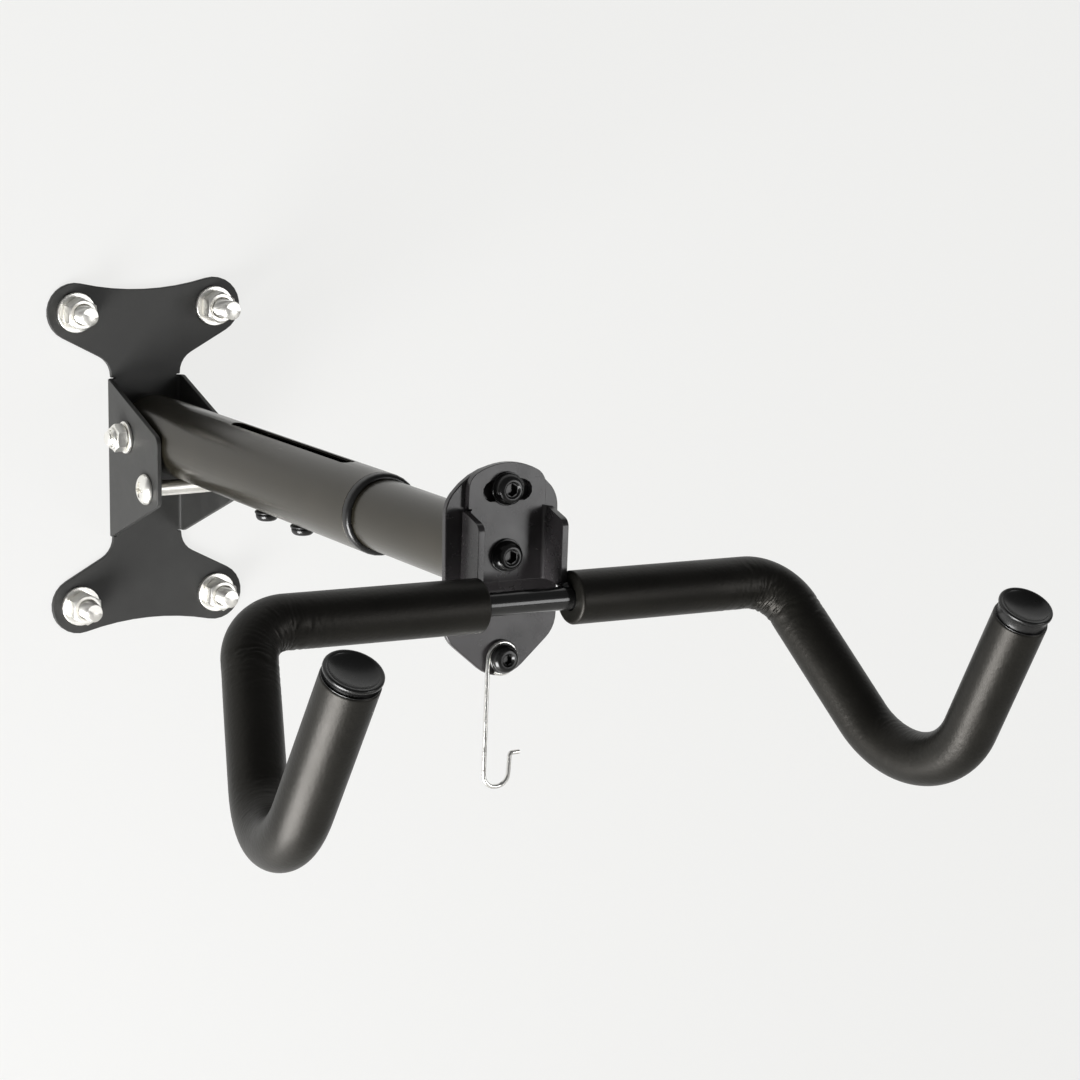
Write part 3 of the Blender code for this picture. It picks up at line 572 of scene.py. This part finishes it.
def cross_recess():
    """Two crossed slots as one cutter, for a screwdriver."""
    first = bmesh.new()
    size = Matrix.Diagonal((2 * RECESS_REACH, 2 * RECESS_HALF, RECESS_TOP - RECESS_FLOOR, 1.0))
    place = Matrix.Translation((0, 0, (RECESS_FLOOR + RECESS_TOP) / 2))
    bmesh.ops.create_cube(first, size=1.0, matrix=place @ size)
    second = bmesh.new()
    bmesh.ops.create_cube(second, size=1.0, matrix=place @ Matrix.Rotation(math.pi / 2, 4, "Z") @ size)
    return combined(first, second, "UNION")


low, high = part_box("stop_bolt")
shank_end = low.x + PAN_HEAD - high.x
angles = [math.radians(8 * i) for i in range(11)]
dome = [(PAN_RADIUS * math.cos(angle), PAN_RIM + PAN_RISE * math.sin(angle)) for angle in angles]
pan = spun([(0.0, shank_end), (SHANK_RADIUS, shank_end), (SHANK_RADIUS, 0.0), (PAN_RADIUS - BREAK, 0.0),
            *dome, (0.0, dome[-1][1])], HEAD_STEPS)
pan = combined(pan, cross_recess(), "DIFFERENCE")
move_to(pan, facing("stop_bolt", LEFTWARD, low.x + PAN_HEAD))
settle("stop_bolt_finished", pan, "zinc", "stop_bolt", 30)
print("stop bolt shank", round(-shank_end / MM, 1), "mm long")

# %% Pivot bolt
HEX_FLATS, HEX_HEIGHT, HEX_CHAMFER = 13 * MM, 5.3 * MM, 0.8 * MM
HEX_TURNED, HEX_CORNER = 6.2 * MM, 7.6 * MM
THREADED_LENGTH, INSIDE_HEAD = 14 * MM, 2 * MM
low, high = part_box("pivot_bolt")
length = high.x - low.x
bolt = threaded_bar(SHANK_RADIUS, INSIDE_HEAD, length, M8_PITCH, length - THREADED_LENGTH)
cone = spun([(0.0, 0.0), (HEX_TURNED, 0.0), (HEX_CORNER, HEX_CHAMFER), (HEX_CORNER, HEX_HEIGHT),
             (0.0, HEX_HEIGHT)])
bolt = combined(combined(hexagon(HEX_FLATS, 0.0, HEX_HEIGHT), cone, "INTERSECT"), bolt, "UNION")
move_to(bolt, facing("pivot_bolt", LEFTWARD, high.x))
settle("pivot_bolt_finished", bolt, "zinc", "pivot_bolt", 30)
print("fasteners standing for", len(REPLACED), "nodes so far")


# %% [markdown]
# ## Cradle arms
# One steel bar is bent cold into both arms.  A ring of edges can make it: pushed forward it makes a
# straight run, and turned a little at each step it makes a bend.  The same sweep makes the foam sleeves, with
# far more rings, because a foam tube pushed round a bend wrinkles on the inside of it.

# %% The arms' centreline
TILT_PIVOT = Vector(JOINTS["tilt"]["pos_m"])
TILT_SET = math.radians(1.3)
ROD_REACH, ROD_DROP = 404.5 * MM, 16.3 * MM
ELBOW_OUT, ELBOW_RADIUS = 126 * MM, 20.5 * MM
DOWN_LENGTH, DOWN_SPLAY, DOWN_DIP = 124.8 * MM, math.radians(13), math.radians(48)
CRADLE_RADIUS = 38 * MM
UP_LENGTH, UP_SPLAY, UP_RISE = 120.5 * MM, math.radians(-2), math.radians(61)
FOAM_START = 21.9 * MM
FOAM_RADIUS, ROD_RADIUS = 11.4 * MM, 5 * MM
CAP_LENGTHS = {"left": 4.0 * MM, "right": 6.5 * MM}
ROLL = Matrix.Translation(TILT_PIVOT) @ Matrix.Rotation(TILT_SET, 4, "Y") @ Matrix.Translation(-TILT_PIVOT)


def arm_corners(side):
    """Elbow, cradle bottom and tip of one arm, level, and the direction of its last run."""
    down = Vector((side * math.sin(DOWN_SPLAY), -math.cos(DOWN_SPLAY) * math.cos(DOWN_DIP),
                   -math.cos(DOWN_SPLAY) * math.sin(DOWN_DIP)))
    up = Vector((side * math.sin(UP_SPLAY), -math.cos(UP_SPLAY) * math.cos(UP_RISE),
                 math.cos(UP_SPLAY) * math.sin(UP_RISE)))
    elbow = Vector((side * ELBOW_OUT, -ROD_REACH, TILT_PIVOT.z - ROD_DROP))
    bottom = elbow + down * DOWN_LENGTH
    return elbow, bottom, bottom + up * UP_LENGTH, up


def centreline(corners, radii, step):
    """Places, directions and, in each bend, the inward direction along runs and bends, evenly spaced."""
    stations = []
    start = corners[0]
    for before, here, after, radius in zip(corners, corners[1:], corners[2:], radii):
        ahead, leave = (here - before).normalized(), (after - here).normalized()
        turn = ahead.angle(leave)
        inward = (leave - ahead).normalized()
        enter = here - ahead * radius * math.tan(turn / 2)
        centre = here + inward * radius / math.cos(turn / 2)
        count = max(2, int((enter - start).length / step))
        stations += [(start.lerp(enter, i / count), ahead, inward) for i in range(count)]
        axis = ahead.cross(leave).normalized()
        count = max(6, int(radius * turn / step))
        for i in range(count):
            spin = Matrix.Rotation(turn * i / count, 3, axis)
            stations.append((centre + spin @ (enter - centre), spin @ ahead, inward))
        start = here + leave * radius * math.tan(turn / 2)
    count = max(2, int((corners[-1] - start).length / step))
    ahead = (corners[-1] - start).normalized()
    stations += [(start.lerp(corners[-1], i / count), ahead, stations[-1][2]) for i in range(count + 1)]
    return stations


def grown_ring(shape, edges):
    """Extrudes a ring of edges where it is; returns the new ring's points and edges."""
    grown = bmesh.ops.extrude_edge_only(shape, edges=edges)["geom"]
    points = [item for item in grown if isinstance(item, bmesh.types.BMVert)]
    edges = [item for item in grown if isinstance(item, bmesh.types.BMEdge)
             and all(vert in points for vert in item.verts)]
    return points, edges


def swept(stations, radius, sides):
    """Sweeps a ring of edges through the stations; returns the bmesh and its rings of points."""
    shape = bmesh.new()
    place, ahead, _ = stations[0]
    turn = ahead.to_track_quat("Z", "Y").to_matrix().to_4x4()
    ring = bmesh.ops.create_circle(shape, segments=sides, radius=radius, cap_ends=False,
                                   matrix=Matrix.Translation(place) @ turn)["verts"]
    rings = [list(ring)]
    edges = list(shape.edges)
    for (here, way, _), (there, next_way, _) in zip(stations, stations[1:]):
        points, edges = grown_ring(shape, edges)
        step = (Matrix.Translation(there) @ way.rotation_difference(next_way).to_matrix().to_4x4()
                @ Matrix.Translation(-here))
        bmesh.ops.transform(shape, matrix=step, verts=points)
        rings.append(points)
    return shape, rings


# %% The bar
BAR_SHORT = 3 * MM
BAR_STEP, BAR_RING_SIDES = 4 * MM, 32
CORNERS = {column: arm_corners(side) for side, column in ((-1, "left"), (1, "right"))}
ends = {column: tip - up * BAR_SHORT for column, (_, _, tip, up) in CORNERS.items()}
bar_corners = [ends["left"], CORNERS["left"][1], CORNERS["left"][0], CORNERS["right"][0], CORNERS["right"][1],
               ends["right"]]
bar_radii = (CRADLE_RADIUS, ELBOW_RADIUS, ELBOW_RADIUS, CRADLE_RADIUS)
bar_shape, bar_rings = swept(centreline(bar_corners, bar_radii, BAR_STEP), ROD_RADIUS, BAR_RING_SIDES)
bmesh.ops.holes_fill(bar_shape, edges=bar_shape.edges)
bmesh.ops.recalc_face_normals(bar_shape, faces=bar_shape.faces)
move_to(bar_shape, ROLL)
settle("cradle_rod_finished", bar_shape, "rod_coat", "cradle_rod")
print("bar swept through", len(bar_rings), "rings")


# %% [markdown]
# ## Foam sleeves
# The sleeve is closed-cell foam tube, pushed over the bar with a little air and soap.  It has a soft matt
# skin.  Inside each bend the skin is squeezed, and it folds into fine rings that fade out about three
# centimetres away.  Those rings are real geometry here: a ridged noise pulls the skin in, most on the
# bend's inner side, and far more at the tight elbow than in the wide cradle.  The cut ends are a little
# rounded.

# %% Foam with wrinkled bends
CREASE_REACH = 30 * MM
CREASE_DEPTH = 0.55 * MM
CREASE_PITCH = 1.7 * MM
DRIFT_LENGTH = 9 * MM
CREASE_WEIGHTS = (1.0, 0.2)
CREASE_AROUND = 0.4
SAME_BEND_WITHIN = 6 * MM


def bend_places(stations):
    """The distance along the sweep of each station, and where each bend starts and ends on that scale."""
    travel = [0.0]
    for (here, _, _), (there, _, _) in zip(stations, stations[1:]):
        travel.append(travel[-1] + (there - here).length)
    turning = [i for i in range(1, len(stations)) if stations[i - 1][1].angle(stations[i][1], 0.0) > 1e-4]
    bends = []
    for i in turning:
        if bends and travel[i] - bends[-1][-1] < SAME_BEND_WITHIN:
            bends[-1].append(travel[i])
        else:
            bends.append([travel[i]])
    return travel, [(places[0], places[-1]) for places in bends]


def wrinkle(stations, rings, seed):
    """Pulls the skin in along ridges that run round the sleeve near each bend."""
    travel, bends = bend_places(stations)
    for distance, (place, _, inward), ring in zip(travel, stations, rings):
        for (first, last), weight in zip(bends, CREASE_WEIGHTS):
            beyond = max(first - distance, distance - last, 0.0)
            fade = max(0.0, 1 - beyond / CREASE_REACH) ** 2
            if not fade:
                continue
            for vert in ring:
                out = (vert.co - place).normalized()
                inner = max(0.0, CREASE_AROUND + (1 - CREASE_AROUND) * out.dot(inward))
                around = math.atan2(out.x + out.z, out.y)
                drift = noise.noise(Vector((seed, 2.2 * around, distance / DRIFT_LENGTH)))
                along = distance / CREASE_PITCH + 1.6 * drift
                ridge = noise.noise(Vector((0.8 * around + seed, along, seed)))
                pull = CREASE_DEPTH * weight * fade * inner * (1 - abs(2 * ridge)) ** 2
                vert.co -= out * pull
            break


# %% Close a sleeve's ends
# Each step of the rounding goes in from the skin and out along the sleeve.
END_ROUNDING = ((0.3 * MM, 0.5 * MM), (1.0 * MM, 0.35 * MM), (2.0 * MM, 0.1 * MM))
BORE_CLEARANCE = 0.6 * MM
PLUG_DEPTH = 6.0 * MM


def close_sleeve(shape, rings, stations, bore):
    """Rounds each end over, turns it in to the bore, and closes the bore a little way in."""
    for ring, (place, ahead, _), way in ((rings[0], stations[0], -1), (rings[-1], stations[-1], 1)):
        radius = (ring[0].co - place).length
        end = set(ring)
        edges = [edge for edge in shape.edges
                 if edge.is_boundary and all(vert in end for vert in edge.verts)]
        centre = place
        steps = [(radius - inset, push) for inset, push in END_ROUNDING]
        for size, push in (*steps, (bore, 0.0), (bore, -PLUG_DEPTH)):
            points, edges = grown_ring(shape, edges)
            now = sum((vert.co - centre).length for vert in points) / len(points)
            at_centre = Matrix.Translation(centre)
            move = (Matrix.Translation(ahead * way * push) @ at_centre
                    @ Matrix.Scale(size / now, 4) @ at_centre.inverted())
            bmesh.ops.transform(shape, verts=points, matrix=move)
            centre = centre + ahead * way * push
        bmesh.ops.edgeloop_fill(shape, edges=edges)


SLEEVE_GAP = 0.6 * MM
SLEEVE_STEP, SLEEVE_SIDES = 0.55 * MM, 72
for column, seed in (("left", 3.0), ("right", 11.0)):
    side = -1 if column == "left" else 1
    elbow, bottom, tip, up = CORNERS[column]
    start = Vector((side * (FOAM_START + SLEEVE_GAP), -ROD_REACH, elbow.z))
    stop = tip - up * (CAP_LENGTHS[column] + SLEEVE_GAP)
    route = centreline([start, elbow, bottom, stop], (ELBOW_RADIUS, CRADLE_RADIUS), SLEEVE_STEP)
    foam_shape, foam_rings = swept(route, FOAM_RADIUS, SLEEVE_SIDES)
    wrinkle(route, foam_rings, seed)
    close_sleeve(foam_shape, foam_rings, route, ROD_RADIUS + BORE_CLEARANCE)
    bmesh.ops.recalc_face_normals(foam_shape, faces=foam_shape.faces)
    move_to(foam_shape, ROLL)
    sleeve = settle(f"foam_{column}_finished", foam_shape, "foam", f"foam_{column}", 60)
    print(sleeve.name, len(sleeve.data.polygons), "faces")


# %% [markdown]
# ## End caps
# Each cap is a moulded plug: a slightly narrower neck, a lip with a bright rounded rim and a bowl-shaped
# face.  A profile spun round the arm's axis makes it.

# %% Caps
CAP_FIT = 0.05 * MM
NECK_DEPTH = 0.9 * MM
LIP_HEIGHT = 1.8 * MM
RIM_ROUND, RIM_WIDTH = 0.7 * MM, 1.7 * MM
BOWL_STEP, BOWL_DEPTH, BOWL_EASE = 0.15 * MM, 2.6 * MM, 1.4
CAP_SIDES = 72


def cap_profile(length):
    outer = FOAM_RADIUS - CAP_FIT
    neck = outer - NECK_DEPTH
    seat = outer - BREAK
    lip = length - LIP_HEIGHT
    corner, level = outer - RIM_ROUND, length - RIM_ROUND
    rim = [(corner + RIM_ROUND * math.cos(angle), level + RIM_ROUND * math.sin(angle))
           for angle in [math.radians(15 * i) for i in range(7)]]
    wide, top = outer - RIM_WIDTH, length - BOWL_STEP
    bowl = [(wide * math.cos(angle), top - BOWL_DEPTH * math.sin(angle) ** BOWL_EASE)
            for angle in [math.radians(9 * i) for i in range(11)]]
    return [(0.0, 0.0), (seat, 0.0), (seat, 0.2 * MM), (neck, 0.3 * MM), (neck, lip - 0.5 * MM),
            (outer - 0.4 * MM, lip), (outer, lip + 0.4 * MM), *rim, *bowl[:-1], (0.0, bowl[-1][1])]


for column, (_, _, tip, up) in CORNERS.items():
    length = CAP_LENGTHS[column]
    cap = spun(cap_profile(length), CAP_SIDES)
    along = up.to_track_quat("Z", "Y").to_matrix().to_4x4()
    move_to(cap, ROLL @ Matrix.Translation(tip - up * length) @ along)
    settle(f"cap_{column}_finished", cap, "black_plastic", f"cap_{column}", 50)
    print("cap", column, round(length / MM, 2), "mm long")


# %% [markdown]
# ## Weld beads
# The bar is welded to the bracket where each flange's front corner stands on it.  A weld bead is a short
# row of overlapping ripples, made here from an icosphere stretched along the joint and ruffled.

# %% Beads
BEAD_HALF = (2.4 * MM, 4.6 * MM, 1.7 * MM)
RIPPLE_DEPTH, RIPPLES, ROUGHENING = 0.10, 9, 0.06
FLANGE_MIDDLE = 20 * MM
BEAD_BACK, BEAD_RISE = 2.2 * MM, 0.1 * MM
for side, column in ((-1, "left"), (1, "right")):
    bead = bmesh.new()
    bmesh.ops.create_icosphere(bead, subdivisions=4, radius=1.0)
    for vert in bead.verts:
        rough = noise.noise(vert.co * 3 + Vector((side, 0, 0)))
        ripple = 1 + RIPPLE_DEPTH * math.sin(RIPPLES * vert.co.y) + ROUGHENING * rough
        vert.co = Vector([axis * half * ripple for axis, half in zip(vert.co, BEAD_HALF)])
    on_bar = TILT_PIVOT.z - ROD_DROP + ROD_RADIUS + BEAD_RISE
    move_to(bead, ROLL @ Matrix.Translation((side * FLANGE_MIDDLE, -ROD_REACH + BEAD_BACK, on_bar)))
    piece = settle(f"weld_bead_{column}", bead, "rod_coat", "tilt_bracket")
    print(piece.name, len(piece.data.polygons), "faces")


# %% [markdown]
# ## Last checks
# Every plain frame node should by now have a finished piece standing for it.

# %% Plain nodes left
left_plain = sorted(set(BODY_OF) - REPLACED)
print("plain nodes left:", left_plain)
